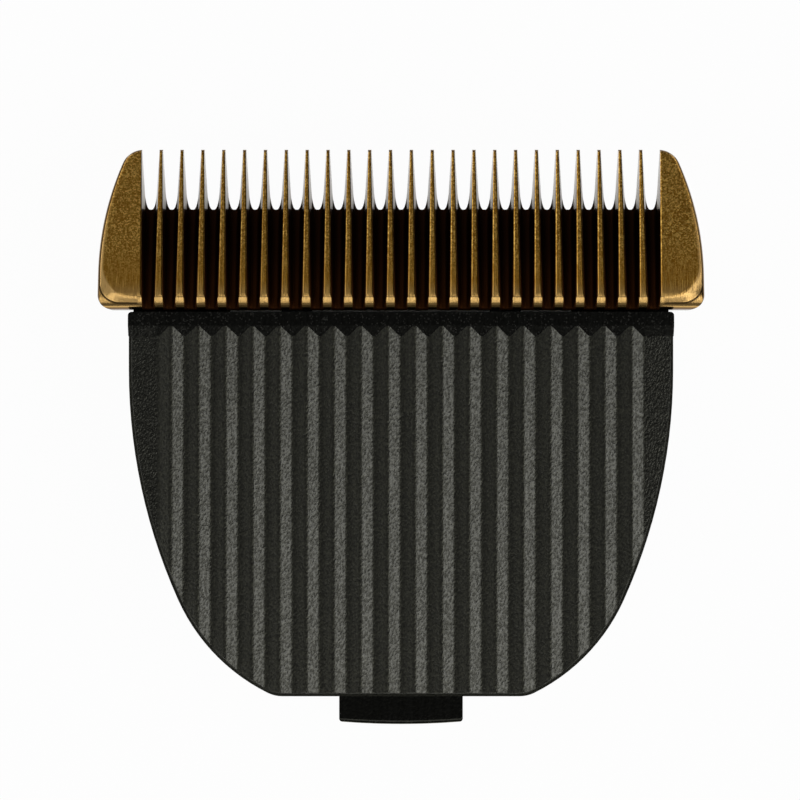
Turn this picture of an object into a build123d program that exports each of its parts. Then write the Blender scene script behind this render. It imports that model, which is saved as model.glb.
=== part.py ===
from build123d import *
import math
import os

os.makedirs("parts", exist_ok=True)

# Clip-on blade set of a hair clipper, lying on its back with its front face up.
# X runs along the tooth row, +Y points to the tooth tips and +Z out of the front face.
# The origin is on the rest plane, in the middle of the overall width and length.

# Comb: a wedge-shaped plate whose front face is tilted to the cutting plane
comb_width = 46.0
comb_length = 12.3
comb_tilt = 12.0
tip_thickness = 0.22
heel_round = 1.1
heel_proud = 0.002
lug_edge_round = 0.4
lug_side_radius = 22.35
lug_side_start = 9.6
lug_tip_round = 1.7
lug_heel_round = 1.1
back_hollow_depth = 0.15
back_hollow_length = 2.6

# Teeth: grooves ground between them, sloping through the plate
tooth_count = 24
tooth_pitch = 1.596
gap_depth = 4.58
groove_slope = 14.0
groove_draft = 11.0
groove_flat_tip = 0.16
groove_flat_heel = 0.1
groove_corner_tip = 0.45
groove_corner_heel = 0.27
tooth_edge_tip = 0.04
tooth_edge_heel = 0.17
tooth_edge_angle = 40.0

# Cover: black moulding with a ribbed front
cover_width = 41.5
cover_length = 29.29
cover_wall = 1.6
front_skin = 1.1
cover_side_length = 4.4
cover_side_radius = 42.8
cover_rear_radius = 14.6
cover_rear_angle = 66.0
cover_rear_round = 2.5
cover_top_round = 0.3
cover_edge = 0.25
rib_count = 18
rib_pitch = 2.057
rib_height = 0.42
rib_flank = 27.0
rib_inset = 0.2
rib_end_draft = 12.0
rim_drop = 0.12
plateau_length = 1.06
plateau_slope = 28.0
tab_width = 9.6
tab_length = 2.62
tab_thickness = 2.2
tab_height = 2.6
tab_bow = 0.2
tab_round = 0.3
tab_root_round = 0.3

# Heights above the rest plane
cutting_height = 7.8
ceiling_clearance = 0.3

# Legs behind the comb and the screws that hold it
leg_width = 5.0
leg_length = 7.6
leg_reach = 3.5
screw_diameter = 2.0
screw_head_diameter = 3.2
screw_head_height = 1.5
screw_seat_height = 4.6
screw_engagement = 1.15
screw_setback = 1.25
screw_inset = 2.55
screw_recess_width = 0.5
screw_recess_depth = 0.7
screw_recess_length = 1.9

# Cutter and the carrier it sits on
cutter_thickness = 1.6
cutter_tip_thickness = 0.5
cutter_setback = 0.8
cutter_root_depth = 4.3
cutter_tooth_tip = 0.26
cutter_tooth_root = 0.62
cutter_root_round = 0.3
cutter_spine = 3.5
cutter_tail_length = 7.2
cutter_travel = 1.3
carrier_width = 23.0
carrier_thickness = 1.8
carrier_lap = 6.0
peg_diameter = 2.2
peg_spacing = 16.0
fork_slot = 4.6
fork_wall = 2.0
fork_length = 8.0
fork_depth = 3.7
fork_round = 0.6

# Guide rib on the housing that runs in the carrier's channel
guide_width = 1.4
guide_length = 20.0
guide_setback = 6.4
guide_bite = 1.6
channel_lip = 2.2

# Double torsion spring on its pin
wire_diameter = 0.8
coil_radius = 2.0
coil_turns = 4
coil_pitch = 1.0
coil_start = 4.6
coil_setback = 18.0
coil_height = 4.4
bridge_reach = 6.5
foot_length = 2.0
foot_reach = 15.4
pin_diameter = 2.0
cheek_thickness = 1.6
cheek_length = 5.6
cheek_lip = 1.1

# Clearances
heel_gap = 0.16
running_clearance = 0.05
slide_clearance = 0.25
wire_clearance = 0.06
hole_clearance = 0.1
screw_clearance = 0.15
cutter_side_gap = 1.37


# Stations along Y, centred on the overall length
overall_length = comb_length + heel_gap + cover_length + tab_length
y_tip = overall_length / 2
y_heel = y_tip - comb_length
y_cover = y_heel - heel_gap
y_rear = y_cover - cover_length
y_break = y_tip - gap_depth

# Levels along Z
z_ceiling = cutting_height + ceiling_clearance
z_valley = z_ceiling + front_skin
z_crest = z_valley + rib_height
z_rim = z_valley - rim_drop
z_cutter = cutting_height - running_clearance
z_carrier = z_cutter - cutter_thickness
z_pad = z_carrier - carrier_thickness


def box_between(x0, x1, y0, y1, z0, z1):
    """A block from its lower to its upper corner."""
    return Pos((x0 + x1) / 2, (y0 + y1) / 2, (z0 + z1) / 2) * Box(x1 - x0, y1 - y0, z1 - z0)


def prism_along_x(points, width):
    """A YZ outline extruded to both sides of the middle."""
    profile = make_face(Polyline(*points, close=True))
    return extrude(Plane.YZ * profile, amount=width / 2, both=True)


def mirrored(shape):
    """A shape and its mirror image on the other side of the middle."""
    return [shape, mirror(shape, about=Plane.YZ)]


# Spring layout: the straight legs and the bridge arms meet the coils at a tangent

y_coil = y_heel - coil_setback
leg_tangent = (y_coil + foot_reach, z_pad - wire_diameter / 2 - wire_clearance)
bar_tangent = (y_coil - bridge_reach, z_ceiling - wire_diameter / 2 - wire_clearance)


def tangent_turn(point):
    """Turn, from the coil's lowest point on, at which a straight wire from the point meets the coil."""
    y = point[0] - y_coil
    z = point[1] - coil_height
    open_angle = math.acos(coil_radius / math.hypot(y, z))
    meeting = math.atan2(z, y) - math.copysign(open_angle, y)
    return math.atan2(-math.cos(meeting), -math.sin(meeting))


start_turn = tangent_turn(leg_tangent)
end_turn = 2 * math.pi * coil_turns + tangent_turn(bar_tangent)
coil_end = coil_start + coil_pitch * (end_turn - start_turn) / (2 * math.pi)
outer_cheek = coil_end + wire_diameter


def coil_point(turn):
    """Point of the right coil's centre line."""
    return Vector(
        coil_end - coil_pitch * (turn - start_turn) / (2 * math.pi),
        y_coil - coil_radius * math.sin(turn),
        coil_height - coil_radius * math.cos(turn),
    )


# Comb blade

# The cutting plane cuts the rounded nose of the tips a little short of the upright wall that it runs into
tilt = math.radians(comb_tilt)
nose_turn = math.asin(max(math.tan(math.pi / 4 - tilt / 2) - tip_thickness / lug_edge_round, 0))
nose_setback = lug_edge_round * (1 - math.cos(nose_turn))
face_plane = Plane(
    origin=(0, y_tip + nose_setback, cutting_height + tip_thickness),
    x_dir=(1, 0, 0),
    z_dir=(0, math.sin(tilt), math.cos(tilt)),
)


def front_height(y):
    """Height of the front face's plane at a station along Y."""
    return face_plane.origin.Z + (face_plane.origin.Y - y) * math.tan(tilt)


def comb_outline():
    """Plan outline: lugs bowed out to the heel, flat row of tips."""
    half = comb_width / 2
    y_nose = face_plane.origin.Y
    y_side = y_nose - lug_side_start
    reach = math.asin(lug_side_start / lug_side_radius)
    side_arc = CenterArc((half - lug_side_radius, y_side), lug_side_radius, 0, math.degrees(reach))
    tip_corner = half - lug_side_radius * (1 - math.cos(reach))
    face = make_face(
        [
            Line((-tip_corner, y_nose), (tip_corner, y_nose)),
            side_arc,
            Line((half, y_side), (half, y_heel)),
            Line((half, y_heel), (-half, y_heel)),
            Line((-half, y_heel), (-half, y_side)),
            mirror(side_arc, about=Plane.YZ),
        ]
    )
    face = fillet(face.vertices().group_by(Axis.Y)[-1], lug_tip_round)
    return fillet(face.vertices().group_by(Axis.Y)[0], lug_heel_round)


def comb_groove():
    """One ground groove: drafted walls, rounded floor corners and broken edges, tapered to the heel."""
    ends = []
    top = cutting_height + comb_length / 2
    edge_slope = math.tan(math.radians(tooth_edge_angle))
    for y, flat, corner, edge in (
        (y_tip + heel_round, groove_flat_tip, groove_corner_tip, tooth_edge_tip),
        (y_heel - heel_round, groove_flat_heel, groove_corner_heel, tooth_edge_heel),
    ):
        floor = cutting_height + (y_break - y) * math.tan(math.radians(groove_slope))
        shoulder = front_height(y) - edge * edge_slope
        half = flat / 2 + corner * math.tan(math.radians(45 - groove_draft / 2))
        shoulder_half = half + (shoulder - floor) * math.tan(math.radians(groove_draft))
        top_half = shoulder_half + (top - shoulder) / edge_slope
        right = [(half, floor), (shoulder_half, shoulder), (top_half, top)]
        left = [(-x, z) for x, z in reversed(right)]
        section = make_face(Polyline(*right, *left, close=True))
        section = fillet(section.vertices().group_by(Axis.Y)[0], corner)
        ends.append(Plane((0, y, 0), x_dir=(1, 0, 0), z_dir=(0, -1, 0)) * section)
    return loft(ends, ruled=True)


def screw_places():
    """Middle of each screw in plan."""
    x = cover_width / 2 - screw_inset
    y = y_heel + screw_setback
    return [(x, y), (-x, y)]


def heel_corner():
    """What the heel's rounding takes off; the round stands a hair proud, so that it meets both faces cleanly."""
    top = front_height(y_heel)
    y_middle = y_heel + heel_round
    z_middle = top - heel_round * math.tan(math.pi / 4 + tilt / 2)
    corner = box_between(
        -comb_width, comb_width, y_heel - heel_round, y_middle + heel_round * math.sin(tilt),
        z_middle, top + heel_round,
    )
    roller = Cylinder(heel_round + heel_proud, 4 * comb_width)
    return corner - Pos(0, y_middle, z_middle) * Rot(0, 90, 0) * roller


def make_comb():
    blank = extrude(comb_outline(), amount=cutting_height + comb_length)
    over = (Align.CENTER, Align.CENTER, Align.MIN)
    blank = blank - face_plane.location * Box(4 * comb_width, 4 * comb_length, 4 * comb_length, align=over)
    blank = fillet(blank.faces().filter_by(face_plane).edges(), lug_edge_round)
    keep = box_between(
        -comb_width, comb_width, y_heel - comb_length, y_tip + comb_length,
        cutting_height, cutting_height + comb_length,
    )
    comb = (blank - heel_corner()) & keep
    groove = comb_groove()
    first = -tooth_count / 2
    comb = comb - [Pos((first + i) * tooth_pitch, 0, 0) * groove for i in range(tooth_count + 1)]
    hollow_front = y_break - cutter_root_depth / 2
    hollow_half = cover_width / 2 - leg_width
    comb = comb - box_between(
        -hollow_half, hollow_half, hollow_front - back_hollow_length, hollow_front,
        cutting_height - 1, cutting_height + back_hollow_depth,
    )
    depth = screw_engagement + screw_clearance
    hole = Cylinder(screw_diameter / 2 + hole_clearance, 2 * depth)
    return comb - [Pos(x, y, cutting_height) * hole for x, y in screw_places()]


# Cover housing

def cover_outline(inset):
    """Plan outline: straight sides, then two tangent arcs a side to the flat rear edge."""
    half = cover_width / 2 - inset
    y_side = y_cover - cover_side_length
    r_side = cover_side_radius - inset
    r_rear = cover_rear_radius - inset
    end = math.radians(cover_rear_angle)
    drop = y_side - (y_rear + inset) - r_rear * math.sin(end)
    turn = math.asin(drop / (r_side - r_rear))
    rear_x = half - (r_side - r_rear) * (1 - math.cos(turn)) - r_rear
    rear_y = y_side - (r_side - r_rear) * math.sin(turn)
    bend = math.degrees(turn)
    rear_arc = CenterArc((rear_x, rear_y), r_rear, -cover_rear_angle, cover_rear_angle - bend)
    half_edges = [
        Line((0, y_rear + inset), rear_arc @ 0),
        rear_arc,
        CenterArc((half - r_side, y_side), r_side, -bend, bend),
        Line((half, y_side), (half, y_cover)),
        Line((half, y_cover), (0, y_cover)),
    ]
    face = make_face(half_edges + [mirror(edge, about=Plane.YZ) for edge in half_edges])
    rear = face.vertices().group_by(Axis.Y)[0].filter_by(lambda v: abs(v.X) > 1)
    face = fillet(rear, cover_rear_round)
    top = face.vertices().group_by(Axis.Y)[-1].filter_by(lambda v: abs(v.X) > 1)
    return fillet(top, cover_top_round)


def rib_wave():
    """Cross-section of the ribbed front: round crests and valleys joined by straight flanks."""
    flank = math.radians(rib_flank)
    run = rib_pitch / 2
    radius = (run * math.sin(flank) - rib_height * math.cos(flank)) / (1 - math.cos(flank)) / 2
    reach = radius * math.sin(flank)
    rise = radius * (1 - math.cos(flank))
    base = z_rim - cover_edge
    half_field = rib_count * run
    margin = cover_width / 2

    def valley_end(side):
        """Half a valley, from the flat margin up to the outermost flank."""
        x = side * half_field
        half_turn = flank / 2
        return ThreePointArc(
            (x, z_valley),
            (x - side * radius * math.sin(half_turn), z_valley + radius * (1 - math.cos(half_turn))),
            (x - side * reach, z_valley + rise),
        )

    edges = [
        Line((-margin, base), (-margin, z_valley)),
        Line((-margin, z_valley), (-half_field, z_valley)),
        valley_end(-1),
        valley_end(1),
        Line((half_field, z_valley), (margin, z_valley)),
        Line((margin, z_valley), (margin, base)),
        Line((margin, base), (-margin, base)),
    ]
    for i in range(rib_count):
        crest = -half_field + (2 * i + 1) * run
        left_foot = (crest - run + reach, z_valley + rise)
        left_shoulder = (crest - reach, z_crest - rise)
        right_shoulder = (crest + reach, z_crest - rise)
        right_foot = (crest + run - reach, z_valley + rise)
        edges.append(Line(left_foot, left_shoulder))
        edges.append(ThreePointArc(left_shoulder, (crest, z_crest), right_shoulder))
        edges.append(Line(right_shoulder, right_foot))
        if i < rib_count - 1:
            next_foot = (crest + run + reach, z_valley + rise)
            edges.append(ThreePointArc(right_foot, (crest + run, z_valley), next_foot))
    return make_face(edges)


def make_spring_cheek(x0):
    """Upright web with a slot from behind that holds the spring's pin."""
    slot = pin_diameter / 2 + hole_clearance
    z_low = coil_height - slot - cheek_lip
    web = box_between(
        x0, x0 + cheek_thickness, y_coil - cheek_length / 2, y_coil + cheek_length / 2, z_low, z_ceiling,
    )
    seat = Pos(x0, y_coil, coil_height) * Rot(0, 90, 0) * Cylinder(slot, 4 * cheek_thickness)
    mouth = box_between(
        x0 - cheek_thickness, x0 + 2 * cheek_thickness, y_coil - cheek_length, y_coil,
        coil_height - slot, coil_height + slot,
    )
    return web - seat - mouth


def make_cover():
    outer = extrude(cover_outline(0), amount=z_rim)
    outer = chamfer(outer.faces().filter_by(Axis.Z).edges(), cover_edge)
    rib_plane = Plane((0, y_cover, 0), x_dir=(1, 0, 0), z_dir=(0, -1, 0))
    ribs = extrude(rib_plane * rib_wave(), amount=cover_length)
    rib_ends = Pos(0, 0, z_rim - cover_edge) * cover_outline(rib_inset)
    ribs = ribs & extrude(rib_ends, amount=cover_edge + rim_drop + 2 * rib_height, taper=rib_end_draft)
    ramp = rib_height / math.tan(math.radians(plateau_slope))
    plateau = prism_along_x(
        [
            (y_cover, z_rim - cover_edge),
            (y_cover, z_crest),
            (y_cover - plateau_length, z_crest),
            (y_cover - plateau_length - ramp, z_valley),
            (y_cover - plateau_length - ramp, z_rim - cover_edge),
        ],
        cover_width,
    )
    plateau = plateau & extrude(cover_outline(0), amount=z_crest + 1)
    cover = outer + ribs + plateau

    half = cover_width / 2
    leg_inner = half - leg_width
    y_leg = y_heel + leg_reach
    cavity = extrude(cover_outline(cover_wall), amount=z_ceiling)
    mouth = box_between(-leg_inner, leg_inner, y_cover - leg_length, y_cover + 1, 0, z_ceiling)
    cover = cover - (cavity + mouth)
    y_root = y_cover - leg_length
    leg = box_between(leg_inner, half - cover_edge, y_root, y_leg, 0, cutting_height)
    root = box_between(leg_inner, half - cover_wall / 2, y_root, y_cover, 0, z_rim - cover_edge)
    stop_inner = carrier_width / 2 + cutter_travel + slide_clearance
    stop = box_between(stop_inner, half - leg_width / 2, y_root, y_leg, 0, z_carrier - slide_clearance)
    cover = cover + mirrored(leg) + mirrored(root) + mirrored(stop)
    head_bore = Cylinder(screw_head_diameter / 2 + screw_clearance, 2 * screw_seat_height)
    shank_bore = Cylinder(screw_diameter / 2 + screw_clearance, 2 * cutting_height)
    for x, y in screw_places():
        cover = cover - Pos(x, y, 0) * head_bore - Pos(x, y, 0) * shank_bore

    y_guide = y_cover - guide_setback
    guide = box_between(
        -guide_length / 2, guide_length / 2, y_guide - guide_width / 2, y_guide + guide_width / 2,
        z_ceiling - guide_bite, z_ceiling,
    )
    cover = cover + guide
    inner_cheek = coil_start - wire_diameter - cheek_thickness
    for x0 in (inner_cheek, outer_cheek):
        cover = cover + mirrored(make_spring_cheek(x0))

    y_end = y_rear - tab_length
    y_inside = y_rear + cover_wall / 2
    tab_side = tab_width / 2
    root_x = tab_side + tab_root_round
    hook_edges = [
        Line((0, y_inside), (root_x, y_inside)),
        Line((root_x, y_inside), (root_x, y_rear)),
        CenterArc((root_x, y_rear - tab_root_round), tab_root_round, 90, 90),
        Line((tab_side, y_rear - tab_root_round), (tab_side, y_end + tab_bow)),
    ]
    hook_end = ThreePointArc((tab_side, y_end + tab_bow), (0, y_end), (-tab_side, y_end + tab_bow))
    hook = make_face(hook_edges + [hook_end] + [mirror(edge, about=Plane.YZ) for edge in hook_edges])
    tab = extrude(Pos(0, 0, tab_height) * hook, amount=tab_thickness)
    end_edges = tab.edges().filter_by(lambda e: e.center().Y < y_end + tab_bow + tab_round / 2)
    tab = fillet(end_edges, tab_round)
    return cover + tab


# Cutter blade and its carrier

y_cutter_tip = y_tip - cutter_setback
y_cutter_root = y_cutter_tip - cutter_root_depth
y_shoulder = y_cutter_root - cutter_spine
y_tail = y_shoulder - cutter_tail_length


def peg_places():
    """Middle of each peg in plan, halfway along the cutter's tail."""
    y = y_shoulder - cutter_tail_length / 2
    return [(peg_spacing / 2, y), (-peg_spacing / 2, y)]


def make_cutter():
    row_half = (tooth_count - 1) * tooth_pitch / 2
    root_half = row_half + cutter_tooth_root / 2
    tip_half = row_half + cutter_tooth_tip / 2
    tail_half = cover_width / 2 - leg_width - cutter_travel - cutter_side_gap
    side = [
        (0, y_cutter_tip),
        (tip_half, y_cutter_tip),
        (root_half, y_cutter_root),
        (root_half, y_shoulder),
        (tail_half, y_shoulder),
        (tail_half, y_tail),
    ]
    plan = make_face(Polyline(*side, *[(-x, y) for x, y in reversed(side[1:])], close=True))
    section = prism_along_x(
        [
            (y_tail, z_cutter),
            (y_tip - cutter_setback, z_cutter),
            (y_tip - cutter_setback, z_cutter - cutter_tip_thickness),
            (y_cutter_root - cutter_spine / 2, z_carrier),
            (y_tail, z_carrier),
        ],
        comb_width,
    )
    cutter = extrude(plan, amount=2 * cutting_height) & section
    gap_root = (tooth_pitch - cutter_tooth_root) / 2
    gap_tip = (tooth_pitch - cutter_tooth_tip) / 2
    gap = make_face(
        Polyline(
            (-gap_root, y_cutter_root), (gap_root, y_cutter_root),
            (gap_tip, y_cutter_tip), (-gap_tip, y_cutter_tip), close=True,
        )
    )
    gap = fillet(gap.vertices().group_by(Axis.Y)[0], cutter_root_round)
    slot = extrude(gap, amount=2 * cutting_height)
    middle = tooth_count / 2 - 1
    cutter = cutter - [Pos((i - middle) * tooth_pitch, 0, 0) * slot for i in range(tooth_count - 1)]
    hole = Cylinder(peg_diameter / 2 + hole_clearance, 4 * cutting_height)
    return cutter - [Pos(x, y, 0) * hole for x, y in peg_places()]


def make_carrier():
    y_guide = y_cover - guide_setback
    channel_front = y_guide + guide_width / 2 + slide_clearance
    channel_back = y_guide - guide_width / 2 - slide_clearance
    half = carrier_width / 2
    z_lip = z_ceiling - ceiling_clearance - slide_clearance
    front = y_tail + carrier_lap
    step = y_tail - hole_clearance
    carrier = prism_along_x(
        [
            (front, z_pad),
            (front, z_carrier),
            (step, z_carrier),
            (step, z_lip),
            (channel_front, z_lip),
            (channel_front, z_ceiling - guide_bite - slide_clearance),
            (channel_back, z_ceiling - guide_bite - slide_clearance),
            (channel_back, z_lip),
            (channel_back - channel_lip, z_lip),
            (channel_back - channel_lip, z_pad),
        ],
        carrier_width,
    )
    corners = carrier.edges().filter_by(Axis.Z).filter_by(lambda e: abs(abs(e.center().X) - half) < 0.01)
    carrier = chamfer(corners, fork_round)
    y_fork = (front + channel_back) / 2
    wall = box_between(
        fork_slot / 2, fork_slot / 2 + fork_wall, y_fork - fork_length / 2, y_fork + fork_length / 2,
        z_pad - fork_depth, z_pad,
    )
    wall = fillet(wall.edges().filter_by(Axis.Z), fork_round)
    peg_length = cutter_thickness - hole_clearance
    peg = Pos(0, 0, z_carrier + peg_length / 2) * Cylinder(peg_diameter / 2, peg_length)
    return carrier + mirrored(wall) + [Pos(x, y, 0) * peg for x, y in peg_places()]


# Spring, its pin and the screws

def make_spring():
    """One wire: foot, leg, coil and bridge arm on the right, then the same mirrored."""
    foot = Vector(coil_end - foot_length, *leg_tangent)
    knee = Vector(coil_end, *leg_tangent)
    bar = Vector(coil_start, *bar_tangent)
    steps = 8 * coil_turns
    coil_points = [coil_point(start_turn + (end_turn - start_turn) * i / steps) for i in range(steps + 1)]
    leg = Line(knee, coil_points[0])
    arm = Line(coil_points[-1], bar)
    coil = Spline(*coil_points, tangents=(leg % 1, arm % 0), tangent_scalars=(0.2, 0.2))
    right = Curve() + [Line(foot, knee), leg, coil, arm]
    bridge = Line(bar, Vector(-bar.X, bar.Y, bar.Z))
    path = Wire(right.edges() + [bridge] + mirror(right, about=Plane.YZ).edges())
    section = Plane(origin=foot, z_dir=(1, 0, 0)) * Circle(wire_diameter / 2)
    return sweep(section, path=path, transition=Transition.ROUND)


def make_pin():
    length = 2 * (outer_cheek + cheek_thickness + slide_clearance)
    pin = Pos(0, y_coil, coil_height) * Rot(0, 90, 0) * Cylinder(pin_diameter / 2, length)
    return chamfer(pin.edges().filter_by(GeomType.CIRCLE), slide_clearance / 2)


def make_screw():
    """Pan head screw, head down, with a cross recess."""
    head = Pos(0, 0, screw_seat_height - screw_head_height / 2) * Cylinder(
        screw_head_diameter / 2, screw_head_height
    )
    head = fillet(head.edges().sort_by(Axis.Z)[0], screw_head_height / 2)
    length = cutting_height + screw_engagement - screw_seat_height
    shank = Pos(0, 0, screw_seat_height + length / 2) * Cylinder(screw_diameter / 2, length)
    shank = chamfer(shank.edges().sort_by(Axis.Z)[-1], hole_clearance)
    slot = Box(screw_recess_length, screw_recess_width, 2 * screw_recess_depth)
    cross = slot + Rot(0, 0, 90) * slot
    return head + shank - Pos(0, 0, screw_seat_height - screw_head_height) * cross


parts = {
    "comb_blade": make_comb(),
    "cover_housing": make_cover(),
    "cutter_blade": make_cutter(),
    "cutter_carrier": make_carrier(),
    "tension_spring": make_spring(),
    "spring_pin": make_pin(),
    "blade_screws": Compound([Pos(x, y, 0) * make_screw() for x, y in screw_places()]),
}
for name, shape in parts.items():
    export_step(shape, f"parts/{name}.step")
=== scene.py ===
import math

import bpy
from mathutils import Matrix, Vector


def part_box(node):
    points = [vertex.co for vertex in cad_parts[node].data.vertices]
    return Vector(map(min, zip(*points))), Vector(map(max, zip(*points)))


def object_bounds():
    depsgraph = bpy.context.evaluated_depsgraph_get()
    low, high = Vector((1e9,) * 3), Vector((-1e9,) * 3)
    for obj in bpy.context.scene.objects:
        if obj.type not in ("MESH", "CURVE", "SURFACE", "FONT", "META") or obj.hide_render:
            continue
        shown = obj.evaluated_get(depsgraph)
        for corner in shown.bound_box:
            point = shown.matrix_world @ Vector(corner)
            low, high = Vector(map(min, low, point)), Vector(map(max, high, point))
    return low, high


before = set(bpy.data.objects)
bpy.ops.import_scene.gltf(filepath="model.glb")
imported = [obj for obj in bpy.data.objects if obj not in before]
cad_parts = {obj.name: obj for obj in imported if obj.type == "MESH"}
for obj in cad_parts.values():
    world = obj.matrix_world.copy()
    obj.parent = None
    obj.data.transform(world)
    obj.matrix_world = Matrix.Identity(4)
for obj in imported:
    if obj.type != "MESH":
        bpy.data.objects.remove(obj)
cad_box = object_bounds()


# Comb blade
# A hardened steel plate, ground to a wedge, coated with gold coloured nitride and screwed on the housing's
# legs. Its front is blasted to satin and brushed towards the heel, and its edges are polished round; the
# edges carry painted highlights and painted shade, and the grooves that a profiled wheel has cut between the
# teeth are painted almost black: painted shade.

mm_per_metre = 1000.0


def new_group(name, inputs, outputs):
    """A shader node group with named sockets; inputs hold (name, type, default), outputs (name, type)."""
    group = bpy.data.node_groups.new(name, "ShaderNodeTree")
    for socket_name, kind, value in inputs:
        socket = group.interface.new_socket(socket_name, in_out="INPUT", socket_type=kind)
        socket.default_value = value
    for socket_name, kind in outputs:
        group.interface.new_socket(socket_name, in_out="OUTPUT", socket_type=kind)
    return group, group.nodes.new("NodeGroupInput"), group.nodes.new("NodeGroupOutput")


def add_node(tree, kind, sockets=None, **properties):
    """A node with its properties set; a socket takes a plain value, or a link from another socket."""
    node = tree.nodes.new(kind)
    for key, value in properties.items():
        setattr(node, key, value)
    for key, value in (sockets or {}).items():
        if isinstance(value, bpy.types.NodeSocket):
            tree.links.new(value, node.inputs[key])
        else:
            node.inputs[key].default_value = value
    return node


def add_math(tree, operation, *operands):
    """A Math node on sockets or numbers; returns its result."""
    return add_node(tree, "ShaderNodeMath", dict(enumerate(operands)), operation=operation).outputs[0]


def add_product(tree, *masks):
    """The share where all of the masks hold."""
    result = masks[0]
    for mask in masks[1:]:
        result = add_math(tree, "MULTIPLY", result, mask)
    return result


def add_either(tree, *masks):
    """The share where at least one of the masks holds."""
    result = masks[0]
    for mask in masks[1:]:
        result = add_math(tree, "MAXIMUM", result, mask)
    return result


def add_inverse(tree, mask):
    """The share where a mask does not hold."""
    return add_math(tree, "SUBTRACT", 1.0, mask)


def add_range(tree, value, low, high, to_low=0.0, to_high=1.0):
    """A value mapped from one range to another, with soft ends."""
    limits = {"Value": value, "From Min": low, "From Max": high, "To Min": to_low, "To Max": to_high}
    return add_node(tree, "ShaderNodeMapRange", limits, interpolation_type="SMOOTHSTEP").outputs["Result"]


def add_mix(tree, factor, first, second):
    """One colour turning into another by a factor."""
    node = add_node(tree, "ShaderNodeMix", data_type="RGBA", clamp_factor=True)
    tree.links.new(factor, node.inputs["Factor"])
    for name, colour in (("A", first), ("B", second)):
        socket = next(s for s in node.inputs if s.name == name and s.type == "RGBA")
        if isinstance(colour, bpy.types.NodeSocket):
            tree.links.new(colour, socket)
        else:
            socket.default_value = colour
    return next(s for s in node.outputs if s.type == "RGBA")


def new_material(name):
    """A node material; returns it with its tree and its Principled BSDF."""
    material = bpy.data.materials.new(name)
    material.use_nodes = True
    return material, material.node_tree, material.node_tree.nodes["Principled BSDF"]


def dress(node_name, material):
    """Gives a piece one material all over."""
    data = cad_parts[node_name].data
    data.materials.clear()
    data.materials.append(material)


def place_group():
    """Where a surface point lies on the object, in millimetres, and which way it faces."""
    group, _, sink = new_group(
        "place", [],
        [(name, "NodeSocketFloat") for name in ("X", "Y", "Z", "Facing X", "Facing Y", "Facing Z")],
    )
    coordinates = add_node(group, "ShaderNodeTexCoord")
    scaled = add_node(
        group, "ShaderNodeVectorMath",
        {0: coordinates.outputs["Object"], "Scale": mm_per_metre},
        operation="SCALE",
    )
    for prefix, vector in (("", scaled.outputs[0]), ("Facing ", coordinates.outputs["Normal"])):
        parts = add_node(group, "ShaderNodeSeparateXYZ", {0: vector})
        for axis in "XYZ":
            group.links.new(parts.outputs[axis], sink.inputs[prefix + axis])
    return group


def stretched_noise_group():
    """Fine streaks or grain: noise over the object, with its own size along each axis, in millimetres."""
    group, source, sink = new_group(
        "stretched_noise",
        [
            ("Size", "NodeSocketVector", (1.0, 1.0, 1.0)),
            ("Slant", "NodeSocketVector", (0.0, 0.0, 0.0)),
            ("Detail", "NodeSocketFloat", 2.0),
        ],
        [("Value", "NodeSocketFloat")],
    )
    coordinates = add_node(group, "ShaderNodeTexCoord")
    turned = add_node(
        group, "ShaderNodeVectorRotate",
        {"Vector": coordinates.outputs["Object"], "Rotation": source.outputs["Slant"]},
        rotation_type="EULER_XYZ",
    )
    scaled = add_node(
        group, "ShaderNodeVectorMath", {0: turned.outputs[0], "Scale": mm_per_metre}, operation="SCALE"
    )
    sized = add_node(
        group, "ShaderNodeVectorMath", {0: scaled.outputs[0], 1: source.outputs["Size"]}, operation="DIVIDE"
    )
    noise = add_node(
        group, "ShaderNodeTexNoise",
        {"Vector": sized.outputs[0], "Scale": 1.0, "Detail": source.outputs["Detail"], "Roughness": 0.55},
    )
    group.links.new(noise.outputs["Fac"], sink.inputs["Value"])
    return group


def grains_group():
    """Blasted grains of one size, in millimetres: each has a level of its own, from 0 to 1."""
    group, source, sink = new_group(
        "grains", [("Size", "NodeSocketFloat", 0.1)], [("Value", "NodeSocketFloat")]
    )
    coordinates = add_node(group, "ShaderNodeTexCoord")
    spread = add_math(group, "DIVIDE", mm_per_metre, source.outputs["Size"])
    cells = add_node(
        group, "ShaderNodeTexVoronoi", {"Vector": coordinates.outputs["Object"], "Scale": spread}
    )
    parts = add_node(group, "ShaderNodeSeparateXYZ", {0: cells.outputs["Color"]})
    group.links.new(parts.outputs["X"], sink.inputs["Value"])
    return group


place = place_group()
stretched_noise = stretched_noise_group()
grains = grains_group()
noise_span = (0.3, 0.7)
noise_middle = 0.5


def add_place(tree):
    """The sockets that say where a point lies and which way it faces."""
    return add_node(tree, "ShaderNodeGroup", node_tree=place).outputs


def add_noise(tree, size, detail=2.0, slant=0.0):
    """Grain or streaks of a feature size in millimetres along X, Y and Z, turned about Z by the slant."""
    sockets = {"Size": size, "Slant": (0.0, 0.0, math.radians(slant)), "Detail": detail}
    return add_node(tree, "ShaderNodeGroup", sockets, node_tree=stretched_noise).outputs["Value"]


def add_grains(tree, size):
    """Grains of a size in millimetres; returns their levels."""
    return add_node(tree, "ShaderNodeGroup", {"Size": size}, node_tree=grains).outputs["Value"]


def add_bump(tree, shader, height, depth):
    """Relief on a shader: height from 0 to 1 stands for the depth, in millimetres."""
    sockets = {"Strength": 1.0, "Distance": depth / mm_per_metre, "Height": height}
    bump = add_node(tree, "ShaderNodeBump", sockets)
    tree.links.new(bump.outputs["Normal"], shader.inputs["Normal"])


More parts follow.
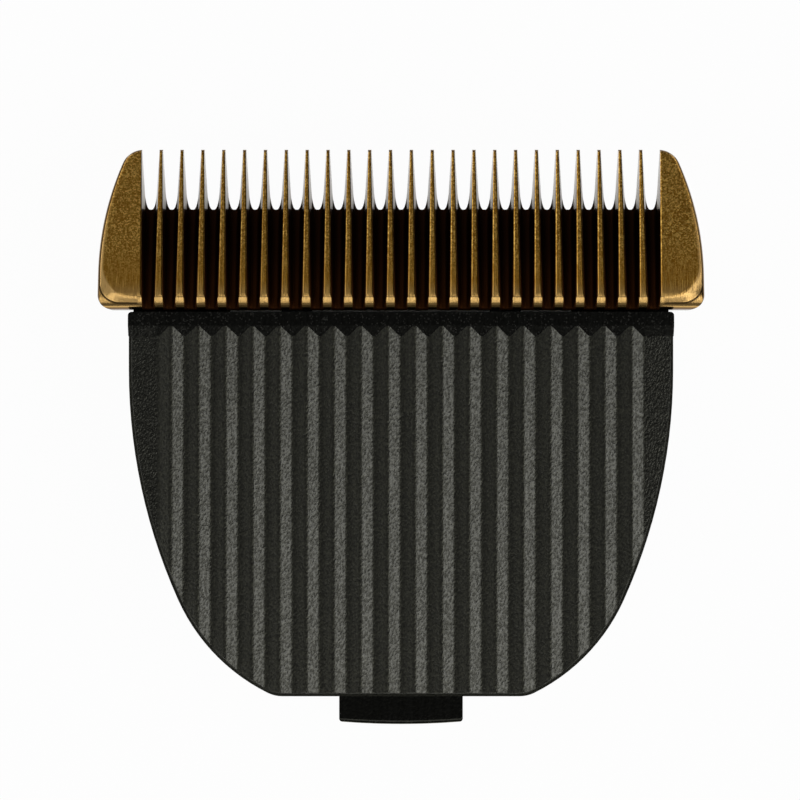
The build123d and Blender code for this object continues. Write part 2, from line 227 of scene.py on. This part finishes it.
comb_tilt = math.radians(12)
comb_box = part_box("comb_blade")
comb_heel = comb_box[0][1] * mm_per_metre
comb_tips = comb_box[1][1] * mm_per_metre
lug_half = comb_box[1][0] * mm_per_metre
front_facing = Vector((0, math.sin(comb_tilt), math.cos(comb_tilt)))
comb_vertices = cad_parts["comb_blade"].data.vertices
front_level = max(front_facing.dot(v.co) for v in comb_vertices) * mm_per_metre
tooth_pitch = 1.596
groove_count = 25
groove_row_half = groove_count * tooth_pitch / 2
heel_groove_half = 0.49
gap_depth = 4.58
gap_end = comb_tips - gap_depth

# Where the grooves and gaps begin and end: millimetres, or how far a face turns to an axis, from -1 to 1
cut_depth = (0.04, 0.07)
cut_facing = (-0.2, -0.1)
back_facing = -0.5
tooth_end_facing = (0.5, 0.7)
run_out_shade_blur = 0.02
run_out_shade_height = (1.6, 1.2)
gap_blur = 0.04
gap_wall_facing = (0.42, 0.3)

# Where the edges of the lugs and of the heel are polished and carry painted highlights and painted shade, in
# the same units
lug_side_facing = (0.46, 0.6)
lug_bow_start = 2.7
lug_bow_rate = 0.0228
crease_inset = 1.64
crease_height = 2.0
crease_inner_edge = (1.46, 1.5)
crease_outer_edge = (1.62, 1.56)
turn_inset = 3.0
turn_height = 3.45
turn_rise = (2.45, 3.3)
turn_end = (1.52, 1.44)
lug_highlight_level = (0.0, 0.25)
lug_highlight_height = (10.0, 3.0)
heel_highlight_height = (2.3, 0.7)
heel_highlight_share = (0.0, 0.8)
heel_highlight_facing = (0.1, -0.15)
heel_wall_facing = (-0.75, -0.9)
heel_wall_height = (0.4, 0.3)
smooth_side_facing = (0.3, 0.45)
smooth_heel_facing = (-0.45, -0.62)

# The blasted and brushed face with its painted glints, and the painted shade of the grooves
blasted_size = (0.14, 0.14, 0.14)
brush_size = (0.05, 1.4, 1.4)
brushed_height = (6.0, 1.5)
brushed_share = (0.15, 0.85)
face_grain_size = 0.11
glint_grain_level = (0.6, 0.84)
speck_level = (0.42, 0.72)
speck_share = (0.0, 0.7)
groove_shade_height = (5.0, 0.5)
polished_roughness = 0.17
satin_roughness_gain = 0.2
groove_roughness_gain = 0.33
face_relief = 0.07
turn_drop = 0.22

# Face gold from darker to lighter, lighter at painted glints; paler golds for painted highlights on the
# edges; dark gold for painted shade on the edges and near-black browns for painted shade in the grooves.
gold_shade = (0.37, 0.168, 0.017, 1)
gold_light = (1.0, 0.63, 0.155, 1)
highlight_gold = (0.68, 0.425, 0.145, 1)
lug_highlight_gold = (0.84, 0.53, 0.19, 1)
edge_shade_gold = (0.15, 0.085, 0.03, 1)
groove_shade_brown = (0.026, 0.0095, 0.004, 1)
groove_foot_shade_brown = (0.06, 0.02, 0.005, 1)
gap_grey = (0.76, 0.74, 0.71, 1)


def gold_nitride_material():
    """The comb's coat: each finish, painted highlight and painted shade is a mask, found by where a point
    lies and which way it faces.
    """
    material, tree, shader = new_material("gold_nitride")
    shader.inputs["Metallic"].default_value = 1.0
    at = add_place(tree)
    from_middle = add_math(tree, "ABSOLUTE", at["X"])
    over_heel = add_math(tree, "SUBTRACT", at["Y"], comb_heel)
    sideways = add_math(tree, "ABSOLUTE", at["Facing X"])
    slope = add_math(tree, "MULTIPLY", at["Y"], front_facing.y)
    reach = add_math(tree, "MULTIPLY_ADD", at["Z"], front_facing.z, slope)
    depth = add_math(tree, "SUBTRACT", front_level, reach)

    in_row = add_math(tree, "LESS_THAN", from_middle, groove_row_half)
    not_back = add_math(tree, "GREATER_THAN", at["Facing Z"], back_facing)
    tooth_end = add_range(tree, at["Facing Y"], *tooth_end_facing)
    not_heel = add_range(tree, at["Facing Y"], *cut_facing)
    cut = add_product(tree, add_range(tree, depth, *cut_depth), not_heel, add_inverse(tree, tooth_end))
    # Dark bands beside the teeth at the heel, where the grooves run out, set by place across the row:
    # painted shade.
    from_groove = add_math(tree, "PINGPONG", at["X"], tooth_pitch / 2)
    run_out_shade = add_product(
        tree,
        add_range(tree, from_groove, heel_groove_half + run_out_shade_blur, heel_groove_half - run_out_shade_blur),
        add_range(tree, over_heel, *run_out_shade_height),
    )
    ground = add_product(tree, add_either(tree, cut, run_out_shade), in_row, not_back)
    upright = add_range(tree, at["Facing Z"], *gap_wall_facing)
    gap_wall = add_product(tree, add_range(tree, at["Y"], gap_end - gap_blur, gap_end + gap_blur), upright)

    lug = add_inverse(tree, in_row)
    lug_side = add_product(tree, add_range(tree, sideways, *lug_side_facing), lug)
    past_bow = add_math(tree, "MAXIMUM", add_math(tree, "SUBTRACT", over_heel, lug_bow_start), 0.0)
    bow = add_math(tree, "POWER", past_bow, 2.0)
    outward = add_math(tree, "MULTIPLY_ADD", bow, lug_bow_rate, from_middle)

    def from_corner(inset, height):
        """How far a point lies outside of a line along the lug's side and heel, round a corner's middle."""
        across = add_math(tree, "MAXIMUM", add_math(tree, "SUBTRACT", outward, lug_half - inset), 0.0)
        along = add_math(tree, "MAXIMUM", add_math(tree, "SUBTRACT", height, over_heel), 0.0)
        along_squared = add_math(tree, "MULTIPLY", along, along)
        return add_math(tree, "SQRT", add_math(tree, "MULTIPLY_ADD", across, across, along_squared))

    edge_line = from_corner(crease_inset, crease_height)
    inside_line = add_range(tree, edge_line, *turn_end)
    turn = add_product(
        tree, add_range(tree, from_corner(turn_inset, turn_height), *turn_rise), lug, inside_line
    )
    # Paler gold on the lugs' turned corners near the heel, on the heel's round and along the heel: painted
    # highlights.
    lug_highlight = add_product(
        tree, add_range(tree, turn, *lug_highlight_level), add_range(tree, over_heel, *lug_highlight_height)
    )
    crease_shade = add_product(
        tree, add_range(tree, edge_line, *crease_inner_edge), add_range(tree, edge_line, *crease_outer_edge), lug
    )
    heel_highlight = add_range(tree, over_heel, *heel_highlight_height, *heel_highlight_share)
    heel_round_highlight = add_range(tree, at["Facing Y"], *heel_highlight_facing)
    painted_highlight = add_either(tree, lug_highlight, heel_highlight, heel_round_highlight, tooth_end)
    # Dark gold on the lugs' sides, the heel wall, the tooth ends and a thin line round the lugs' corners:
    # painted shade.
    faces_rear = add_range(tree, at["Facing Y"], *heel_wall_facing)
    heel_wall = add_product(tree, faces_rear, add_range(tree, over_heel, *heel_wall_height))
    edge_shade = add_either(tree, lug_side, heel_wall, tooth_end, crease_shade)
    smooth_side = add_range(tree, sideways, *smooth_side_facing)
    smooth_heel = add_range(tree, at["Facing Y"], *smooth_heel_facing)
    smooth = add_either(tree, smooth_side, smooth_heel, tooth_end)
    satin = add_inverse(tree, add_either(tree, ground, smooth))

    blasted = add_noise(tree, blasted_size)
    strokes = add_noise(tree, brush_size)
    brushed = add_range(tree, over_heel, *brushed_height, *brushed_share)
    blend = add_node(tree, "ShaderNodeMix", {0: brushed, 2: blasted, 3: strokes}, data_type="FLOAT")
    finish = blend.outputs[0]
    # Lighter grains on the blasted face are painted glints; the blasted and brushed noise is the face's own
    # tone.
    glinting = add_range(tree, add_grains(tree, face_grain_size), *glint_grain_level)
    glint_grains = add_product(tree, glinting, add_inverse(tree, brushed))
    grain_and_glints = add_either(tree, add_range(tree, finish, *speck_level, *speck_share), glint_grains)

    face_colour = add_mix(tree, grain_and_glints, gold_shade, gold_light)
    highlight_colour = add_mix(tree, lug_highlight, highlight_gold, lug_highlight_gold)
    edge_highlight_and_shade_colour = add_mix(tree, edge_shade, highlight_colour, edge_shade_gold)
    outer_colour = add_mix(tree, add_either(tree, painted_highlight, edge_shade), face_colour, edge_highlight_and_shade_colour)
    # Near-black gold in the grooves, redder towards the heel: painted shade.
    towards_heel = add_range(tree, over_heel, *groove_shade_height)
    groove_shade = add_mix(tree, towards_heel, groove_shade_brown, groove_foot_shade_brown)
    groove_colour = add_mix(tree, gap_wall, groove_shade, gap_grey)
    tree.links.new(add_mix(tree, ground, outer_colour, groove_colour), shader.inputs["Base Color"])

    sheen = add_math(tree, "MULTIPLY_ADD", satin, satin_roughness_gain, polished_roughness)
    roughness = add_math(tree, "MULTIPLY_ADD", ground, groove_roughness_gain, sheen)
    tree.links.new(roughness, shader.inputs["Roughness"])
    grain_relief = add_product(tree, add_math(tree, "SUBTRACT", finish, noise_middle), satin)
    turn_relief = add_math(tree, "MULTIPLY", turn, -turn_drop)
    add_bump(tree, shader, add_math(tree, "MULTIPLY_ADD", grain_relief, face_relief, turn_relief), 1.0)
    return material


dress("comb_blade", gold_nitride_material())


# Cover housing
# One black moulding: the ribbed front, the walls, the two legs under the comb and the hook tab at the rear.
# The ribs carry a fine moulded grain that catches the light; the band under the comb and the tab are smooth.

heel_gap = 0.16
smooth_band = 1.1
band_blur = 0.1
rib_height = 0.42
rim_drop = 0.12
rib_row_half = 18.5
cover_front = comb_heel - heel_gap
band_end = cover_front - smooth_band
cover_rear = -19.6
rib_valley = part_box("cover_housing")[1][2] * mm_per_metre - rib_height
rim_level = rib_valley - rim_drop

# Where the front, its margins and its rim begin and end, in millimetres from the levels above
front_start = (-0.1, -0.02)
margin_start = (-0.1, 0.2)
rim_start = (-0.01, -0.04)
dust_start = 0.3

rib_grain_size = (0.15, 0.26, 0.2)
rib_grain_slant = 22.0
rib_stroke_size = (0.12, 3.0, 3.0)
rib_relief = 0.07
dust_size = 0.1
dust_level = (0.86, 1.0)
ramp_facing = (-0.35, -0.15)
rim_facing = (0.95, 0.85)
rim_shade_level = 0.95
stroke_share = 0.6
black_tone_level = (0.35, 0.65)
gloss_roughness = (0.15, 0.21)
grain_roughness_gain = 0.2
margin_dulling = (1.0, 0.45)
margin_thinning = 0.13
margin_relief = 0.2
high_spot_level = (0.4, 0.62)
streak_share = (0.65, 1.0)
grained_relief = (0.25, 1.0)

moulding_tint = (1.0, 1.0, 0.84, 1)
black_shade = (0.0035, 0.0035, 0.0032, 1)
black_light = (0.0065, 0.0066, 0.006, 1)
dust_grey = (0.028, 0.028, 0.025, 1)


def black_moulding_material():
    """Black plastic: grain on the ribs and, thinner, on the margins beside them; smooth everywhere else."""
    material, tree, shader = new_material("black_moulding")
    shader.inputs["Coat Roughness"].default_value = 0.28
    shader.inputs["Coat Tint"].default_value = moulding_tint
    shader.inputs["Specular Tint"].default_value = moulding_tint
    at = add_place(tree)
    on_front = add_range(tree, at["Z"], *(rib_valley + offset for offset in front_start))
    past_band = add_range(tree, at["Y"], band_end + band_blur, band_end - band_blur)
    not_ramp = add_range(tree, at["Facing Y"], *ramp_facing)
    grained = add_product(tree, on_front, past_band, not_ramp)
    from_middle = add_math(tree, "ABSOLUTE", at["X"])
    margin = add_range(tree, from_middle, *(rib_row_half + offset for offset in margin_start))
    grain = add_noise(tree, rib_grain_size, slant=rib_grain_slant)
    strokes = add_noise(tree, rib_stroke_size, detail=1.0)

    grain_tone = add_math(tree, "MULTIPLY", grain, 1 - stroke_share)
    tone = add_math(tree, "MULTIPLY_ADD", strokes, stroke_share, grain_tone)
    plain = add_mix(tree, add_range(tree, tone, *black_tone_level), black_shade, black_light)
    on_cover = add_range(tree, at["Y"], cover_rear, cover_rear + dust_start)
    dusty = add_product(tree, add_range(tree, add_grains(tree, dust_size), *dust_level), on_cover)
    tree.links.new(add_mix(tree, dusty, plain, dust_grey), shader.inputs["Base Color"])

    gloss = add_range(tree, grain, *noise_span, *gloss_roughness)
    dulled = add_product(tree, grained, add_range(tree, margin, 0.0, 1.0, *margin_dulling))
    roughness = add_math(tree, "MULTIPLY_ADD", dulled, grain_roughness_gain, gloss)
    tree.links.new(roughness, shader.inputs["Roughness"])

    sparse = add_math(tree, "MULTIPLY_ADD", margin, -margin_thinning, grain)
    streaked = add_range(tree, strokes, *noise_span, *streak_share)
    high_spots = add_product(tree, add_range(tree, sparse, *high_spot_level), streaked, grained)
    tree.links.new(high_spots, shader.inputs["Coat Weight"])

    # Metallic on the near-black rim takes its gloss away: painted shade along the rim's turned edge.
    under_rim = add_range(tree, at["Z"], *(rim_level + offset for offset in rim_start))
    turned = add_range(tree, at["Facing Z"], *rim_facing)
    tree.links.new(add_product(tree, under_rim, turned, rim_shade_level), shader.inputs["Metallic"])

    grained_height = add_range(tree, grained, 0.0, 1.0, *grained_relief)
    roughened = add_math(tree, "MULTIPLY_ADD", margin, margin_relief, grained_height)
    relief = add_product(tree, add_math(tree, "SUBTRACT", grain, noise_middle), roughened)
    add_bump(tree, shader, relief, rib_relief)
    return material


dress("cover_housing", black_moulding_material())


# Cutter blade
# A plate of white ceramic, sintered, with its tooth row ground afterwards. It sits on pegs of the carrier,
# which the spring presses forward, and is free to slide from side to side behind the comb.

grinding_size = (0.05, 0.9, 0.4)
cloud_size = (2.5, 2.5, 2.5)
ceramic_roughness = (0.25, 0.42)
grinding_relief = 0.004
ceramic_shade = (0.76, 0.75, 0.71, 1)
ceramic_light = (0.82, 0.81, 0.78, 1)


def white_ceramic_material():
    """White ceramic with faint clouds and fine grinding marks along the teeth."""
    material, tree, shader = new_material("white_ceramic")
    grinding = add_noise(tree, grinding_size, detail=3.0)
    cloud = add_range(tree, add_noise(tree, cloud_size), *noise_span)
    tree.links.new(add_mix(tree, cloud, ceramic_shade, ceramic_light), shader.inputs["Base Color"])
    tree.links.new(add_range(tree, grinding, *noise_span, *ceramic_roughness), shader.inputs["Roughness"])
    add_bump(tree, shader, grinding, grinding_relief)
    return material


dress("cutter_blade", white_ceramic_material())


# Cutter carrier
# A slide moulded in dark grey plastic, with the fork for the clipper's drive pin on its back. Its pegs hold
# the cutter, a rib of the housing runs in its channel, and the spring's two feet press on its back.

carrier_grain_size = (0.12, 0.12, 0.12)
carrier_flow_size = (1.5, 4.0, 1.5)
carrier_roughness = (0.35, 0.5)
carrier_relief = 0.008
carrier_shade = (0.045, 0.046, 0.048, 1)
carrier_light = (0.062, 0.063, 0.065, 1)


def grey_moulding_material():
    """Grey plastic with a fine grain and faint marks of its flow in the mould."""
    material, tree, shader = new_material("grey_moulding")
    grain = add_noise(tree, carrier_grain_size, detail=3.0)
    flow = add_range(tree, add_noise(tree, carrier_flow_size), *noise_span)
    tree.links.new(add_mix(tree, flow, carrier_shade, carrier_light), shader.inputs["Base Color"])
    tree.links.new(add_range(tree, grain, *noise_span, *carrier_roughness), shader.inputs["Roughness"])
    add_bump(tree, shader, grain, carrier_relief)
    return material


dress("cutter_carrier", grey_moulding_material())


# Spring, pin and screws
# The spring is drawn steel wire, wound into two coils on a ground steel pin that sits in slots of the
# housing's cheeks. Two zinc plated pan head screws go through the housing's legs into the comb.

steel_roughness = (0.18, 0.36)
steel_relief = 0.004


def bright_steel_material(name, dark, light, streak_size):
    """Bare or plated steel, with streaks that run the way it was drawn or ground."""
    material, tree, shader = new_material(name)
    shader.inputs["Metallic"].default_value = 1.0
    streaks = add_noise(tree, streak_size, detail=3.0)
    colour = add_mix(tree, add_range(tree, streaks, *noise_span), dark, light)
    tree.links.new(colour, shader.inputs["Base Color"])
    tree.links.new(add_range(tree, streaks, *noise_span, *steel_roughness), shader.inputs["Roughness"])
    add_bump(tree, shader, streaks, steel_relief)
    return material


drawn_wire = bright_steel_material(
    "drawn_wire", (0.40, 0.39, 0.37, 1), (0.58, 0.57, 0.55, 1), streak_size=(0.5, 0.5, 0.05)
)
ground_steel = bright_steel_material(
    "ground_steel", (0.50, 0.50, 0.50, 1), (0.66, 0.66, 0.67, 1), streak_size=(0.04, 0.6, 0.6)
)
zinc_plate = bright_steel_material(
    "zinc_plate", (0.52, 0.54, 0.57, 1), (0.66, 0.68, 0.71, 1), streak_size=(0.2, 0.2, 0.2)
)
dress("tension_spring", drawn_wire)
dress("spring_pin", ground_steel)
dress("blade_screws", zinc_plate)


# Floor, light and camera
# The blade set lies on its back on a white table. The studio is dark overhead, where the camera looks down,
# with soft panels of light round its walls: a strong one on the right, and weaker ones on the other sides.

table_size = 0.32
table_white = 0.97


def white_table_material():
    """A matt white table that the camera, and what mirrors it, sees as plain white."""
    material, tree, shader = new_material("white_table")
    shader.inputs["Base Color"].default_value = (0.85, 0.85, 0.85, 1)
    shader.inputs["Roughness"].default_value = 0.9
    glow = add_node(tree, "ShaderNodeEmission", {"Color": (1, 1, 1, 1), "Strength": 1.0})
    rays = add_node(tree, "ShaderNodeLightPath").outputs
    looked_at = add_either(tree, rays["Is Glossy Ray"], rays["Is Transmission Ray"], rays["Is Camera Ray"])
    seen = add_math(tree, "MULTIPLY", looked_at, table_white)
    mix = add_node(
        tree, "ShaderNodeMixShader", {0: seen, 1: shader.outputs["BSDF"], 2: glow.outputs["Emission"]}
    )
    tree.links.new(mix.outputs["Shader"], tree.nodes["Material Output"].inputs["Surface"])
    return material


bpy.ops.mesh.primitive_plane_add(size=table_size, location=(0, 0, cad_box[0][2]))
floor = bpy.context.object
floor.name = "white_table"
floor.data.materials.append(white_table_material())

world = bpy.data.worlds.new("studio")
bpy.context.scene.world = world
world.use_nodes = True
sky = world.node_tree
direction = add_node(sky, "ShaderNodeTexCoord").outputs["Generated"]
to_wall = add_node(sky, "ShaderNodeSeparateXYZ", {0: direction}).outputs
just_over_one = 1.0001
rise_squared = add_math(sky, "POWER", to_wall["Z"], 2.0)
flat_length = add_math(sky, "SQRT", add_math(sky, "SUBTRACT", just_over_one, rise_squared))
panel_blur = 8


def add_panel(level, azimuth, half_width, low, high):
    """A soft panel on the studio's wall: its level, and its middle, half width and edges in degrees."""
    turn = math.radians(azimuth)
    across = add_math(sky, "MULTIPLY", to_wall["Y"], math.sin(turn))
    towards = add_math(sky, "MULTIPLY_ADD", to_wall["X"], math.cos(turn), across)
    outer, inner = (math.cos(math.radians(half_width + blur)) for blur in (panel_blur, -panel_blur))
    wide = add_range(sky, add_math(sky, "DIVIDE", towards, flat_length), outer, inner)
    below_low, above_low = (math.sin(math.radians(low + blur)) for blur in (-panel_blur, panel_blur))
    above_high, below_high = (math.sin(math.radians(high + blur)) for blur in (panel_blur, -panel_blur))
    over = add_range(sky, to_wall["Z"], below_low, above_low)
    under = add_range(sky, to_wall["Z"], above_high, below_high)
    return add_product(sky, wide, over, under, level)


ceiling_level = 0.006
studio = add_panel(level=2.75, azimuth=-25, half_width=32, low=12, high=54)
for panel in (
    add_panel(level=1.2, azimuth=180, half_width=30, low=4, high=20),
    add_panel(level=1.15, azimuth=225, half_width=25, low=12, high=45),
    add_panel(level=0.2, azimuth=270, half_width=40, low=6, high=24),
    add_panel(level=0.9, azimuth=270, half_width=55, low=48, high=70),
    add_panel(level=0.42, azimuth=130, half_width=40, low=40, high=68),
    add_panel(level=0.12, azimuth=95, half_width=70, low=25, high=55),
):
    studio = add_math(sky, "ADD", studio, panel)
studio = add_math(sky, "ADD", studio, ceiling_level)
strength = add_math(sky, "MAXIMUM", studio, add_node(sky, "ShaderNodeLightPath").outputs["Is Camera Ray"])
background = sky.nodes["Background"]
background.inputs["Color"].default_value = (1, 1, 1, 1)
sky.links.new(strength, background.inputs["Strength"])

front_height = 9.5
camera_distance = 211.0
camera_x = -0.076
camera_y = 3.02
frame_width = 60.79
camera_data = bpy.data.cameras.new("camera")
camera = bpy.data.objects.new("camera", camera_data)
bpy.context.scene.collection.objects.link(camera)
camera.location = Vector((camera_x, camera_y, front_height + camera_distance)) / mm_per_metre
camera_data.sensor_width = 36
camera_data.lens = camera_data.sensor_width * camera_distance / frame_width
camera_data.clip_start = 0.01
bpy.context.scene.camera = camera

bpy.context.scene.view_settings.view_transform = "Standard"
